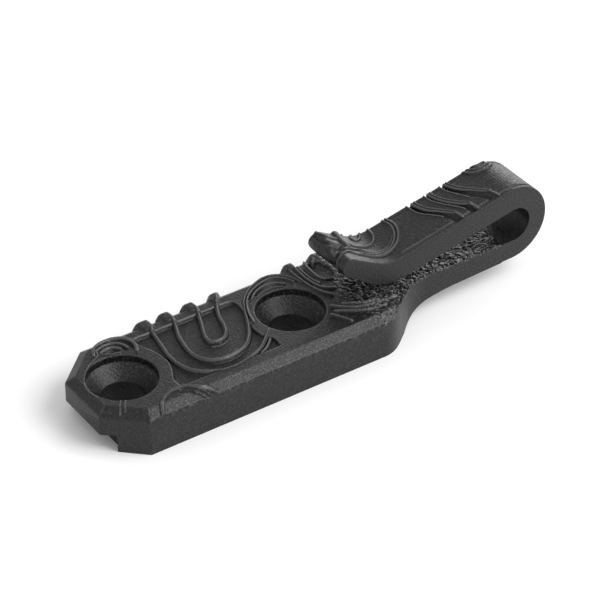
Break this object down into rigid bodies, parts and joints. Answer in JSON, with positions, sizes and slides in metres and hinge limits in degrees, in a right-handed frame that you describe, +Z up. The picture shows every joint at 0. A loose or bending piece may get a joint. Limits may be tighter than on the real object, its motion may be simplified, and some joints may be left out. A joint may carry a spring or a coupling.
{
  "type": "holdback spring clip",
  "caption": "Black moulded holdback clip: a ridged screw-down plate whose narrow tail bends back over it as a hairpin spring arm with an upturned tip.",
  "frame": {"origin": "on the foot plane, midway between the two screw holes", "axes": "+X from the heel to the bow, +Y across the clip, +Z up from the foot to the arm"},
  "size_m": [0.0607, 0.0148, 0.0125],
  "materials": {
    "black_nylon": "black glass-bead grained nylon, satin on the ridges"
  },
  "bodies": {
    "plate": {"mount_plate": "black_nylon", "spring_bow": "black_nylon"},
    "arm": {"spring_arm": "black_nylon"}
  },
  "joints": [
    {"name": "arm_flex", "type": "hinge", "parent": "plate", "child": "arm", "pos_m": [0.04205, 0, 0.0077], "axis": [0, 1, 0], "range_deg": [-2.5, 12], "stiffness_Nm_per_rad": 0.9, "deforming": ["spring_bow"]}
  ]
}
